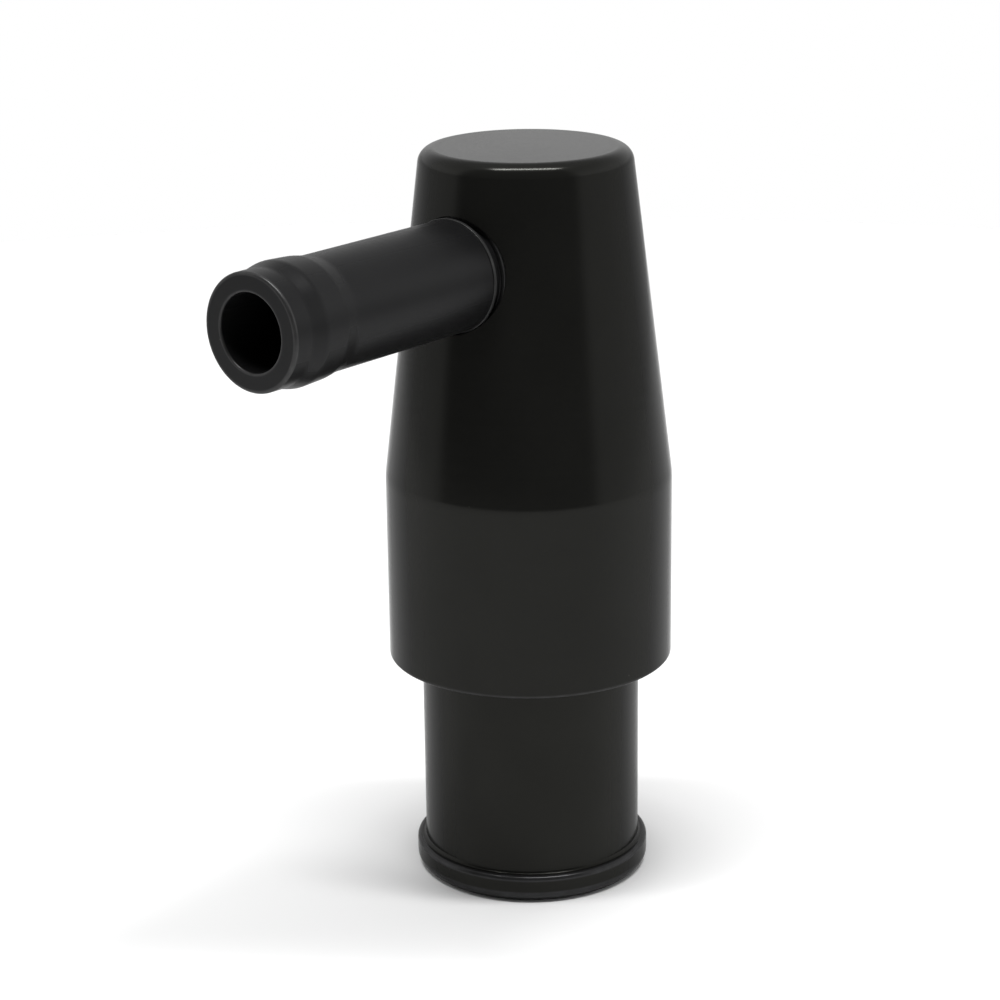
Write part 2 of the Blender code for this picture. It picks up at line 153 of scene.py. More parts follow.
RING_HOLE_R = 0.45 * MM
RING_HOLE_OUT = 0.25 * MM    # from the middle of the ear
GUIDE_INNER_R = 7.7 * MM
GUIDE_Z = 41.4 * MM
HUB_R = 3.0 * MM
HUB_BORE_R = 2.3 * MM
ARMS = 3
ARM_WIDTH = 2.0 * MM
ARM_INSET = 0.1 * MM
ARM_FILLET = 0.7 * MM
BUSH_R = 2.2 * MM
BUSH_BORE_R = 1.58 * MM
BUSH_FLANGE_Z = 43.9 * MM
SHIM_BORE_R = 3.2 * MM
WASHER_BORE_R = 7.9 * MM
WIRE_R = 0.25 * MM
COIL_TURNS = 7.0
COIL_CLOSED = 1.0
CLOSED_RISE = 0.6 * MM
WIRE_END = 0.85          # the wire's ends are ground down to this share

FINE = 256               # divisions round the outer pieces
TUBE_STEPS = 192
MEDIUM = 144             # and round the inner ones
SMALL = 96
HOLE_STEPS = 32
RING_STEPS = 120
RING_INNER_STEPS = 100
WINDOW_STEPS = 12
COIL_STEPS = 560
WIRE_SIDES = 16
FLOOR_STEPS = 128
ARC_STEP = math.radians(10)
RUN = 1.6 * MM           # longest straight stretch of an outline
EDGE_REACH = 0.12 * MM   # how far wear fades past a rounded edge
BROAD = 1.0 * MM         # a rounding larger than this is a curve, not an edge that wears
BREAK = 0.06 * MM        # rounding of a small edge
SOFT = 0.1 * MM          # and of an ordinary one
NEAR = 0.008 * MM        # closer than this is on the surface
HAIR = 0.01 * MM
WELD = 0.0005 * MM


# ---- outlines -----------------------------------------------------------------------------
def outward(along):
    """The outside of an anticlockwise outline that runs this way."""
    return Vector((along.y, -along.x)).normalized()


def filleted(corners, closed=True):
    """Points of a flat outline with rounded corners, each as (place, outward direction, wear).

    corners are (x, y, rounding). The outline is made to run anticlockwise, its outside on its right hand.
    """
    points = [Vector((x, y)) for x, y, _ in corners]
    area = sum(a.x * b.y - b.x * a.y for a, b in zip(points, points[1:] + points[:1]))
    if area < 0:
        corners = corners[::-1]
        points = points[::-1]
    last = len(points) - 1
    made = []
    for i, here in enumerate(points):
        if not closed and i in (0, last):
            along = points[1] - here if i == 0 else here - points[-2]
            made.append((here, outward(along), 0.0))
            continue
        back = points[i - 1] - here
        ahead = points[(i + 1) % len(points)] - here
        half = back.angle(ahead) / 2
        reach = min(corners[i][2] / math.tan(half), 0.48 * min(back.length, ahead.length))
        radius = reach * math.tan(half)
        convex = outward(-back).dot(ahead) < 0
        if radius < 1e-7:
            side = (outward(-back) + outward(ahead)).normalized()
            made.append((here, side, 0.0))
            continue
        middle = (back.normalized() + ahead.normalized()).normalized()
        centre = here + middle * radius / math.sin(half)
        spoke = here + back.normalized() * reach - centre
        last_spoke = here + ahead.normalized() * reach - centre
        turn = spoke.angle_signed(last_spoke)
        steps = max(2, math.ceil(abs(turn) / ARC_STEP))
        worn = 1.0 if convex and radius < BROAD else 0.0
        for k in range(steps + 1):
            arm = spoke.copy()
            arm.rotate(Matrix.Rotation(-turn * k / steps, 2))
            side = arm.normalized() if convex else -arm.normalized()
            made.append((centre + arm, side, worn))
    return made


def with_runs(points, closed, longest=RUN):
    """The same outline with points along its straight stretches: wear fades and no face is very long."""
    made = []
    for a, b in zip(points, points[1:] + (points[:1] if closed else [])):
        made.append(a)
        gap = (b[0] - a[0]).length
        straight = (a[1] - b[1]).length < 1e-4
        if not straight or gap < 3 * EDGE_REACH:
            continue
        inner = gap - 2 * EDGE_REACH
        cuts = max(1, math.ceil(inner / longest))
        for k in range(cuts + 1):
            share = (EDGE_REACH + inner * k / cuts) / gap
            made.append((a[0].lerp(b[0], share), a[1], 0.0))
    if not closed:
        made.append(points[-1])
    return made


# ---- shapes -------------------------------------------------------------------------------
def add(name, mesh):
    obj = bpy.data.objects.new(name, mesh)
    bpy.context.scene.collection.objects.link(obj)
    return obj


def no_thread(radius, angle, height):
    return radius


def turned(name, corners, steps=FINE, thread=no_thread, longest=RUN):
    """Turn an outline of (radius, height, rounding) corners round Z.

    An outline that starts on the axis also ends there. thread may change the radius with angle and height.
    """
    closed = corners[0][0] > 0
    outline = with_runs(filleted(corners, closed), closed, longest)
    verts = []
    normals = []
    wear = []
    rings = []
    for place, side, worn in outline:
        radius, height = place
        around = 1 if radius < 1e-9 else steps
        rings.append(range(len(verts), len(verts) + around))
        for k in range(around):
            angle = math.tau * k / steps
            cut = thread(radius, angle, height)
            verts.append((cut * math.cos(angle), cut * math.sin(angle), height))
            normals.append((side.x * math.cos(angle), side.x * math.sin(angle), side.y))
            wear.append(worn)
    faces = []
    for low, high in zip(rings, rings[1:] + (rings[:1] if closed else [])):
        for k in range(steps):
            after = (k + 1) % steps
            quad = [low[k % len(low)], low[after % len(low)], high[after % len(high)], high[k % len(high)]]
            faces.append([v for i, v in enumerate(quad) if v != quad[i - 1]])
    mesh = bpy.data.meshes.new(name)
    mesh.from_pydata(verts, [], faces)
    mesh.shade_smooth()
    mesh.attributes.new("wear", "FLOAT", "POINT").data.foreach_set("value", wear)
    if thread is no_thread:
        mesh.normals_split_custom_set_from_vertices(normals)
    return add(name, mesh)


def washer(name, inner_r, outer_r, low_z, high_z, edge=BREAK, steps=MEDIUM):
    corners = [(inner_r, low_z), (outer_r, low_z), (outer_r, high_z), (inner_r, high_z)]
    return turned(name, [(r, z, edge) for r, z in corners], steps)


def o_ring(name, mean_r, centre_z, section_r, steps=MEDIUM, sides=24):
    angles = [math.tau * i / sides for i in range(sides)]
    section = [(mean_r + section_r * math.cos(a), centre_z + section_r * math.sin(a), 0.0) for a in angles]
    return turned(name, section, steps)


def plate(name, loops, low_z, high_z, edge=BREAK):
    """A flat plate with rounded edges. The first loop of (x, y) points is its outside, the rest are holes."""
    curve = bpy.data.curves.new(name, "CURVE")
    curve.dimensions = "2D"
    curve.fill_mode = "BOTH"
    curve.extrude = (high_z - low_z) / 2 - edge
    curve.bevel_depth = edge
    curve.bevel_resolution = 2
    curve.offset = -edge
    for loop in loops:
        spline = curve.splines.new("POLY")
        spline.points.add(len(loop) - 1)
        spline.use_cyclic_u = True
        for point, (x, y) in zip(spline.points, loop):
            point.co = (x, y, 0.0, 1.0)
    holder = bpy.data.objects.new(name, curve)
    mesh = bpy.data.meshes.new_from_object(holder)
    bpy.data.objects.remove(holder)
    mesh.transform(Matrix.Translation((0, 0, (low_z + high_z) / 2)))
    bm = bmesh.new()
    bm.from_mesh(mesh)
    bmesh.ops.remove_doubles(bm, verts=bm.verts, dist=WELD)
    bmesh.ops.recalc_face_normals(bm, faces=bm.faces)
    bm.to_mesh(mesh)
    bm.free()
    return add(name, mesh)


def circle(radius, steps, centre=(0.0, 0.0)):
    angles = [math.tau * i / steps for i in range(steps)]
    return [(centre[0] + radius * math.cos(a), centre[1] + radius * math.sin(a)) for a in angles]


def combine(base, other, operation):
    """Join, cut or intersect base with other, which is used up."""
    step = base.modifiers.new("combine", "BOOLEAN")
    step.operation = operation
    step.solver = "EXACT"
    step.object = other
    bpy.context.view_layer.update()
    made = bpy.data.meshes.new_from_object(base.evaluated_get(bpy.context.evaluated_depsgraph_get()))
    base.modifiers.clear()
    base.data = made
    bpy.data.objects.remove(other)


def smooth(obj, sharper_than=40):
    """Smooth shading with edges kept, weighted so that flat faces look flat."""
    obj.data.shade_smooth()
    obj.data.set_sharp_from_angle(angle=math.radians(sharper_than))
    weigh = obj.modifiers.new("weigh", "WEIGHTED_NORMAL")
    weigh.keep_sharp = True
    return obj


def as_tube(obj):
    """Lay a piece turned round Z along the hose tube, so that its heights run outwards along -X."""
    obj.matrix_world = Matrix.Translation((0, 0, TUBE_Z)) @ Matrix.Rotation(-math.pi / 2, 4, "Y")
    return obj


# ---- node helpers -------------------------------------------------------------------------
class Nodes:
    """The few node shapes that the finishes and the studio share. A value may be a number or a socket."""

    def __init__(self, tree):
        self.tree = tree

    def node(self, kind, inputs=(), **settings):
        made = self.tree.nodes.new(kind)
        for key, value in settings.items():
            setattr(made, key, value)
        for key, value in dict(inputs).items():
            if isinstance(value, bpy.types.NodeSocket):
                self.tree.links.new(value, made.inputs[key])
            else:
                made.inputs[key].default_value = value
        return made

    def math(self, operation, a, b=0.0):
        return self.node("ShaderNodeMath", {0: a, 1: b}, operation=operation).outputs[0]

    def ramp(self, value, low, high, to_low=0.0, to_high=1.0, kind="LINEAR"):
        ends = {"Value": value, "From Min": low, "From Max": high, "To Min": to_low, "To Max": to_high}
        return self.node("ShaderNodeMapRange", ends, interpolation_type=kind).outputs["Result"]

    def mix(self, share, a, b):
        """A mix of two colours, each an (r, g, b) or a socket."""
        ends = {6: a, 7: b}
        ends = {k: v if isinstance(v, bpy.types.NodeSocket) else (*v, 1.0) for k, v in ends.items()}
        return self.node("ShaderNodeMix", {0: share, **ends}, data_type="RGBA").outputs[2]


class Finish(Nodes):
    """A Principled material on the piece's own coordinates."""

    def __init__(self, name, **fixed):
        self.material = bpy.data.materials.new(name)
        self.material.use_nodes = True
        super().__init__(self.material.node_tree)
        self.shader = self.tree.nodes["Principled BSDF"]
        for socket, value in fixed.items():
            self.shader.inputs[socket.replace("_", " ")].default_value = value
        self.place = self.node("ShaderNodeTexCoord").outputs["Object"]

    def set(self, socket, value):
        self.tree.links.new(value, self.shader.inputs[socket])

    def noise(self, per_mm, detail=3.0):
        inputs = {"Vector": self.place, "Scale": per_mm / MM, "Detail": detail}
        return self.node("ShaderNodeTexNoise", inputs).outputs["Fac"]

    def rings(self, per_mm, detail=2.0):
        """Noise that changes only along the turned outline, like the marks of a lathe tool."""
        x, y, z = self.node("ShaderNodeSeparateXYZ", {0: self.place}).outputs
        flat = self.node("ShaderNodeCombineXYZ", {0: x, 1: y}).outputs[0]
        radius = self.node("ShaderNodeVectorMath", {0: flat}, operation="LENGTH").outputs["Value"]
        inputs = {"W": self.math("ADD", radius, z), "Scale": per_mm / MM, "Detail": detail}
        return self.node("ShaderNodeTexNoise", inputs, noise_dimensions="1D").outputs["Fac"]

    def bump(self, *layers):
        """Stacked bumps, each a (height, depth in metres) pair."""
        below = {}
        for height, depth in layers:
            inputs = {"Height": height, "Distance": depth, "Strength": 1.0, **below}
            below = {"Normal": self.node("ShaderNodeBump", inputs).outputs["Normal"]}
        self.set("Normal", below["Normal"])

    def specks(self, share, radius):
        """Sparse dust specks: the share of one-millimetre cells that have one, and its radius in mm."""
        cells = self.node("ShaderNodeTexVoronoi", {"Vector": self.place, "Scale": 1.0 / MM})
        near = self.math("LESS_THAN", cells.outputs["Distance"], radius)
        lot = self.node("ShaderNodeSeparateColor", {0: cells.outputs["Color"]}).outputs[0]
        return self.math("MULTIPLY", near, self.math("LESS_THAN", lot, share))

    def wear(self, low=0.3, high=0.8):
        """Wear along edges, broken up by noise."""
        edge = self.node("ShaderNodeAttribute", attribute_name="wear").outputs["Fac"]
        return self.math("MULTIPLY", edge, self.ramp(self.noise(0.9, 4.0), low, high, 0.5, 1.0))


# ---- finishes -----------------------------------------------------------------------------
ANODISED_METAL = 0.5
ANODISED_RIM = (0.26, 0.26, 0.26, 1.0)
DUST = (0.10, 0.098, 0.09)
DUST_SHARE = 0.06
DUST_R = 0.045


def anodised(name, colour, lighter, edge_colour, roughness, level, depth):
    """Black anodised aluminium: a dyed skin over turning marks, a little thinner on its edges.

    It is part metal and part dye, and its reflection grows less towards grazing angles than bare metal's.
    """
    f = Finish(name, Metallic=ANODISED_METAL, Specular_Tint=ANODISED_RIM, Specular_IOR_Level=level)
    cloud = f.noise(0.12, 4.0)
    grain = f.noise(5.0, 2.0)
    rings = f.rings(2.2)
    tint = f.mix(f.ramp(cloud, 0.3, 0.7), colour, lighter)
    tint = f.mix(f.wear(), tint, edge_colour)
    tint = f.mix(f.specks(DUST_SHARE, DUST_R), tint, DUST)
    f.set("Base Color", tint)
    shine = f.math("ADD", f.ramp(cloud, 0.25, 0.75, -0.02, 0.02), f.ramp(grain, 0.3, 0.7, -0.02, 0.02))
    shine = f.math("ADD", shine, f.ramp(rings, 0.3, 0.7, -0.015, 0.015))
    f.set("Roughness", f.math("ADD", shine, roughness))
    f.bump((rings, depth), (grain, depth * 0.6))
    return f.material


def bare_metal(name, colour, darker, roughness, per_mm, depth):
    """Turned or drawn bare metal with fine tool marks."""
    f = Finish(name, Metallic=1.0)
    rings = f.rings(per_mm, 3.0)
    f.set("Base Color", f.mix(f.ramp(f.noise(0.3, 4.0), 0.3, 0.75), colour, darker))
    f.set("Roughness", f.math("ADD", f.ramp(rings, 0.25, 0.75, -0.05, 0.07), roughness))
    f.bump((rings, depth), (f.noise(3.0), depth * 0.4))
    return f.material


def moulded(name, colour, lighter, roughness, per_mm, depth):
    """Moulded rubber or plastic."""
    f = Finish(name, Metallic=0.0)
    cloud = f.noise(0.5, 4.0)
    f.set("Base Color", f.mix(cloud, colour, lighter))
    f.set("Roughness", f.ramp(cloud, 0.3, 0.7, roughness, roughness + 0.15))
    f.bump((f.noise(per_mm, 2.0), depth))
    return f.material


FINISHES = {
    "cap_black": anodised(
        "anodised cap", (0.0178, 0.0178, 0.0163), (0.0202, 0.0202, 0.0185), (0.046, 0.046, 0.046),
        roughness=0.15, level=0.28, depth=0.0004 * MM,
    ),
    "neck_black": anodised(
        "anodised neck", (0.0172, 0.0172, 0.0154), (0.0196, 0.0196, 0.0176), (0.046, 0.046, 0.048),
        roughness=0.22, level=0.29, depth=0.0005 * MM,
    ),
    "tube_black": anodised(
        "anodised tube", (0.0125, 0.0125, 0.0130), (0.0150, 0.0150, 0.0155), (0.060, 0.060, 0.060),
        roughness=0.36, level=0.75, depth=0.0014 * MM,
    ),
    "seal_rubber": moulded(
        "nitrile", (0.008, 0.008, 0.008), (0.018, 0.018, 0.018),
        roughness=0.5, per_mm=9.0, depth=0.006 * MM,
    ),
    "acetal": moulded(
        "white acetal", (0.78, 0.77, 0.72), (0.70, 0.69, 0.64),
        roughness=0.36, per_mm=4.0, depth=0.004 * MM,
    ),
    "stainless": bare_metal(
        "turned stainless", (0.56, 0.55, 0.53), (0.42, 0.41, 0.40),
        roughness=0.28, per_mm=3.0, depth=0.0015 * MM,
    ),
    "spring_steel": bare_metal(
        "hard steel", (0.42, 0.43, 0.45), (0.30, 0.31, 0.33),
        roughness=0.26, per_mm=2.0, depth=0.0010 * MM,
    ),
    "brass": bare_metal(
        "turned brass", (0.72, 0.50, 0.20), (0.52, 0.34, 0.13),
        roughness=0.27, per_mm=3.0, depth=0.0015 * MM,
    ),
}


def finished(piece, slot, body, node):
    """Give a piece its finish and its body, and hide the CAD node that it stands for."""
    piece.data.materials.clear()
    piece.data.materials.append(FINISHES[slot])
    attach(piece, body)
    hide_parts(node)
    return piece


# ---- cap ----------------------------------------------------------------------------------
def ring_groove(bore_r, ring_low, ring_high):
    """The corners of a retaining ring's groove, going up the bore's wall."""
    deep_r = bore_r + RING_GROOVE_DEPTH
    low = ring_low - RING_SLACK
    high = ring_high + RING_SLACK
    return [(bore_r, low, BREAK), (deep_r, low, BREAK), (deep_r, high, BREAK), (bore_r, high, BREAK)]


def taper_radius(height):
    return SKIRT_R - (SKIRT_R - TAPER_TOP_R) * (height - TAPER_Z) / (TOP_Z - TAPER_Z)


def build_cap():
    cap = turned("cap", [
        (0.0, TOP_Z, 0.0),
        (TAPER_TOP_R, TOP_Z, TOP_FILLET),
        (SKIRT_R, TAPER_Z, 7.0 * MM),
        (SKIRT_R, SKIRT_Z, 0.2 * MM),
        (COLLAR_BORE_R, SKIRT_Z, SOFT),
        (COLLAR_BORE_R, COLLAR_BORE_TOP_Z, SOFT),
        (GUIDE_BORE_R, COLLAR_BORE_TOP_Z, SOFT),
        *ring_groove(GUIDE_BORE_R, guide_ring_low.z, guide_ring_high.z),
        (GUIDE_BORE_R, GUIDE_BORE_TOP_Z, SOFT),
        (CHAMBER_R, GUIDE_BORE_TOP_Z, SOFT),
        (CHAMBER_R, CHAMBER_TOP_Z, 0.8 * MM),
        (0.0, CHAMBER_TOP_Z, 0.0),
    ])
    cutter_in, cutter_out = CUTTER_ENDS
    cutter = turned("hole_cutter", [
        (0.0, cutter_in, 0.0),
        (SPIGOT_HOLE_R, cutter_in, BREAK),
        (SPIGOT_HOLE_R, TUBE_SEAT_IN, BREAK),
        (TUBE_SEAT_R, TUBE_SEAT_IN, SOFT),
        (TUBE_SEAT_R, cutter_out, BREAK),
        (0.0, cutter_out, 0.0),
    ], MEDIUM)
    combine(cap, as_tube(cutter), "DIFFERENCE")
    round_hole_edge(cap.data)
    smooth_taper(cap.data)
    finished(cap, "cap_black", HOUSING, "valve_body")


def round_hole_edge(mesh):
    """Round the edge where the hose tube's seat meets the taper, and mark it as worn."""
    bm = bmesh.new()
    bm.from_mesh(mesh)
    rim = [edge for edge in bm.edges if on_rim(edge)]
    made = bmesh.ops.bevel(
        bm, geom=rim, offset=HOLE_EDGE, segments=4, profile=0.5, affect="EDGES", clamp_overlap=True
    )
    worn = bm.verts.layers.float["wear"]
    for vert in made["verts"]:
        x, y, z = vert.co
        on_wall = math.hypot(y, z - TUBE_Z) < TUBE_SEAT_R + NEAR
        on_taper = math.hypot(x, y) > taper_radius(z) - NEAR
        vert[worn] = 0.0 if on_wall or on_taper else 1.0
    bm.to_mesh(mesh)
    bm.free()


def on_rim(edge):
    """True for an edge where the hose tube's seat meets the taper."""
    if len(edge.link_faces) != 2 or edge.calc_face_angle() < math.radians(35):
        return False
    reach = 0.05 * MM
    for vert in edge.verts:
        x, y, z = vert.co
        from_tube = math.hypot(y, z - TUBE_Z)
        from_axis = math.hypot(x, y)
        if abs(from_tube - TUBE_SEAT_R) > reach or abs(from_axis - taper_radius(z)) > reach:
            return False
    return True


def smooth_taper(mesh):
    """Give every corner on the taper the cone's own normal, so that cut faces near the hole shade evenly."""
    mesh.shade_smooth()
    mesh.set_sharp_from_angle(angle=math.radians(50))
    lean = math.atan2(SKIRT_R - TAPER_TOP_R, TOP_Z - TAPER_Z)
    normals = [corner.vector.copy() for corner in mesh.corner_normals]
    for face in mesh.polygons:
        for index in face.loop_indices:
            x, y, z = mesh.vertices[mesh.loops[index].vertex_index].co
            from_axis = math.hypot(x, y)
            on_taper = TAPER_Z + 2 * MM < z < TOP_Z - TOP_FILLET - SOFT
            if not on_taper or abs(from_axis - taper_radius(z)) > NEAR:
                continue
            flat = math.cos(lean) / from_axis
            cone = Vector((x * flat, y * flat, math.sin(lean)))
            if face.normal.dot(cone) > 0.3:
                normals[index] = cone
    mesh.normals_split_custom_set(normals)


# ---- hose tube and neck -------------------------------------------------------------------
def build_tube():
    relief_in, relief_out = TUBE_RELIEF
    tube = turned("outlet_tube", [
        (TUBE_BORE_R, SPIGOT_IN, 0.15 * MM),
        (SPIGOT_R, SPIGOT_IN, 0.15 * MM),
        (SPIGOT_R, TUBE_COLLAR_IN, BREAK),
        (TUBE_COLLAR_R, TUBE_COLLAR_IN, 0.08 * MM),
        (TUBE_COLLAR_R, relief_in, 0.04 * MM),
        (TUBE_RELIEF_R, relief_in, SOFT),
        (TUBE_RELIEF_R, relief_out, SOFT),
        (TUBE_COLLAR_R, relief_out, 0.04 * MM),
        (TUBE_COLLAR_R, TUBE_COLLAR_OUT, 0.07 * MM),
        (TUBE_R, TUBE_COLLAR_OUT, HAIR),
        (TUBE_R, TUBE_MOUTH - BEAD_START, 4.0 * MM),
        (BEAD_HEEL_R, TUBE_MOUTH - BEAD_HEEL, 3.0 * MM),
        (BEAD_R, TUBE_MOUTH - BEAD_CREST, 2.0 * MM),
        (TUBE_LIP_R, TUBE_MOUTH - BEAD_FRONT, 2.0 * MM),
        (TUBE_LIP_R, TUBE_MOUTH, 0.22 * MM),
        (TUBE_BORE_R, TUBE_MOUTH, 0.12 * MM),
    ], TUBE_STEPS)
    finished(as_tube(tube), "tube_black", HOUSING, "hose_tube")


def build_neck():
    groove_low, groove_high = NECK_GROOVE_Z
    collar_z = SKIRT_Z + 0.3 * MM
    neck = turned("push_in_neck", [
        (NECK_BORE_R, 0.0, 0.4 * MM),
        (LIP_R, 0.0, LIP_EDGE),
        (LIP_R, LIP_TOP_Z, LIP_SHOULDER),
        (NECK_R, LIP_TOP_Z, LIP_ROOT),
        (NECK_R, collar_z, 0.15 * MM),
        (COLLAR_R, collar_z, 0.15 * MM),
        (COLLAR_R, groove_low, SOFT),
        (NECK_GROOVE_R, groove_low, SOFT),
        (NECK_GROOVE_R, groove_high, SOFT),
        (COLLAR_R, groove_high, SOFT),
        (COLLAR_R, COLLAR_TOP_Z, 0.3 * MM),
        (POCKET_R, COLLAR_TOP_Z, SOFT),
        *reversed(ring_groove(POCKET_R, seat_ring_low.z, seat_ring_high.z)),
        (POCKET_R, POCKET_Z, SOFT),
        (NECK_BORE_R, POCKET_Z, 0.15 * MM),
    ])
    finished(neck, "neck_black", HOUSING, "inlet_neck")


# ---- seals --------------------------------------------------------------------------------
def build_seals():
    for name, node in (("neck_seal", "neck_o_ring"), ("seat_seal", "seat_o_ring")):
        low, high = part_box(node)
        section_r = (high.z - low.z) / 2
        ring = o_ring(name, high.x - section_r, (low.z + high.z) / 2, section_r)
        finished(ring, "seal_rubber", HOUSING, node)
    low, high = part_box("tube_o_ring")
    section_r = (high.x - low.x) / 2
    ring = o_ring("tube_seal", (high.z - low.z) / 2 - section_r, -(low.x + high.x) / 2, section_r)
    finished(as_tube(ring), "seal_rubber", HOUSING, "tube_o_ring")


# ---- seat and plunger ---------------------------------------------------------------------
def build_seat():
    lip_in, lip_out = SEAT_LIP_R
    groove_low, groove_high = SEAT_GROOVE_Z
    seat = turned("seat_ring", [
        (SEAT_BORE_R, seat_low.z, 0.3 * MM),
        (seat_high.x, seat_low.z, SOFT),
        (seat_high.x, groove_low, BREAK),
        (SEAT_GROOVE_R, groove_low, BREAK),
        (SEAT_GROOVE_R, groove_high, BREAK),
        (seat_high.x, groove_high, BREAK),
        (seat_high.x, SEAT_FACE_Z, SOFT),
        (lip_out, SEAT_FACE_Z, SOFT),
        ((lip_in + lip_out) / 2, seat_high.z, 0.05 * MM),
        (lip_in, seat_high.z, 0.05 * MM),
        (SEAT_BORE_R, SEAT_FACE_Z, SOFT),
    ], MEDIUM)
    finished(seat, "stainless", HOUSING, "valve_seat")


def shank_thread(radius, angle, height):
    """A right-hand thread on the shank, fading out at both of its ends."""
    start = stem_low.z
    end = clamp_high.z
    if radius < STEM_R - HAIR or not start < height < end:
        return radius
    phase = (height / THREAD_PITCH - angle / math.tau) % 1.0
    tooth = abs(2 * phase - 1)
    fade = min(1.0, (height - start) / THREAD_PITCH, (end - height) / THREAD_PITCH)
    return radius - THREAD_DEPTH * fade * min(1.0, max(0.0, 1.25 * tooth - 0.125))


def build_plunger():
    shoulder_z = bumper_low.z - SHOULDER_GAP
    poppet = turned("poppet", [
        (0.0, stem_low.z, 0.0),
        (STEM_R, stem_low.z, 0.25 * MM),
        (STEM_R, HEAD_LOW_Z, BREAK),
        (HEAD_R, HEAD_LOW_Z, SOFT),
        (HEAD_R, HEAD_RIM_Z, 0.15 * MM),
        (HEAD_TOP_R, HEAD_TOP_Z, 0.2 * MM),
        (BOSS_R, HEAD_TOP_Z, 0.15 * MM),
        (BOSS_R, BOSS_TOP_Z, 0.25 * MM),
        (SHOULDER_R, BOSS_TOP_Z, 0.15 * MM),
        (SHOULDER_R, shoulder_z, 0.12 * MM),
        (STEM_R, shoulder_z, SOFT),
        (STEM_R, stem_high.z, 0.3 * MM),
        (0.0, stem_high.z, 0.0),
    ], SMALL, shank_thread, THREAD_PITCH / 10)
    finished(smooth(poppet), "brass", PLUNGER, "plunger")
    disc = washer("sealing_disc", SHANK_HOLE_R, disc_high.x, disc_low.z, disc_high.z, SOFT)
    finished(disc, "seal_rubber", PLUNGER, "seal_disc")
    clamp = washer("clamp_washer", SHANK_HOLE_R, clamp_high.x, clamp_low.z, clamp_high.z, 0.08 * MM)
    finished(clamp, "stainless", PLUNGER, "seal_washer")


def build_nut():
    """A hexagon nut with its corners turned off at both ends."""
    corner_r = NUT_FLATS / math.sqrt(3)
    low, high = nut_low.z, nut_high.z
    hexagon = [tuple(place) for place, _, _ in filleted([(x, y, BREAK) for x, y in circle(corner_r, 6)])]
    nut = plate("hex_nut", [hexagon, circle(SHANK_HOLE_R, SMALL)], low, high)
    chamfer = (corner_r - NUT_FACE_R) * math.tan(NUT_CHAMFER)
    tip_r = NUT_FACE_R - NUT_TRIM / math.tan(NUT_CHAMFER)
    trim = turned("nut_trim", [
        (0.0, low - MM, 0.0),
        (tip_r, low - NUT_TRIM, 0.0),
        (corner_r + HAIR, low + chamfer, 0.0),
        (corner_r + HAIR, high - chamfer, 0.0),
        (tip_r, high + NUT_TRIM, 0.0),
        (0.0, high + MM, 0.0),
    ], SMALL)
    combine(nut, trim, "INTERSECT")
    finished(smooth(nut, 25), "stainless", PLUNGER, "plunger_nut")


# ---- retaining rings ----------------------------------------------------------------------
def circlip(name, bore_r, low_z, high_z, node):
    """An open ring with an ear at each end, and a hole in each ear for ring pliers."""
    outer_r = bore_r + RING_GROOVE_DEPTH - RING_SLACK
    inner_r = bore_r - RING_WIDTH
    ear_r = inner_r - RING_EAR_DEPTH
    start = RING_OPENING / 2
    ear_end = start + RING_EAR / inner_r

    def at(radius, angle, rounding=0.0):
        return (radius * math.cos(angle), radius * math.sin(angle), rounding)

    def sweep(radius, first, last, steps):
        return [at(radius, first + (last - first) * i / steps) for i in range(1, steps)]

    end = math.tau - start
    far_ear = math.tau - ear_end
    corners = [at(outer_r, start, 0.3 * MM)]
    corners += sweep(outer_r, start, end, RING_STEPS)
    corners += [at(outer_r, end, 0.3 * MM)]
    corners += [at(ear_r, end, 0.5 * MM), at(ear_r, far_ear, 0.5 * MM), at(inner_r, far_ear, 0.4 * MM)]
    corners += sweep(inner_r, far_ear, ear_end, RING_INNER_STEPS)
    corners += [at(inner_r, ear_end, 0.4 * MM), at(ear_r, ear_end, 0.5 * MM), at(ear_r, start, 0.5 * MM)]
    outline = [tuple(place) for place, _, _ in filleted(corners)]
    hole_r = (inner_r + ear_r) / 2 + RING_HOLE_OUT
    middle = (start + ear_end) / 2
    holes = [circle(RING_HOLE_R, HOLE_STEPS, at(hole_r, side * middle)[:2]) for side in (1, -1)]
    ring = plate(name, [outline, *holes], low_z, high_z, 0.05 * MM)
    finished(smooth(ring), "spring_steel", HOUSING, node)


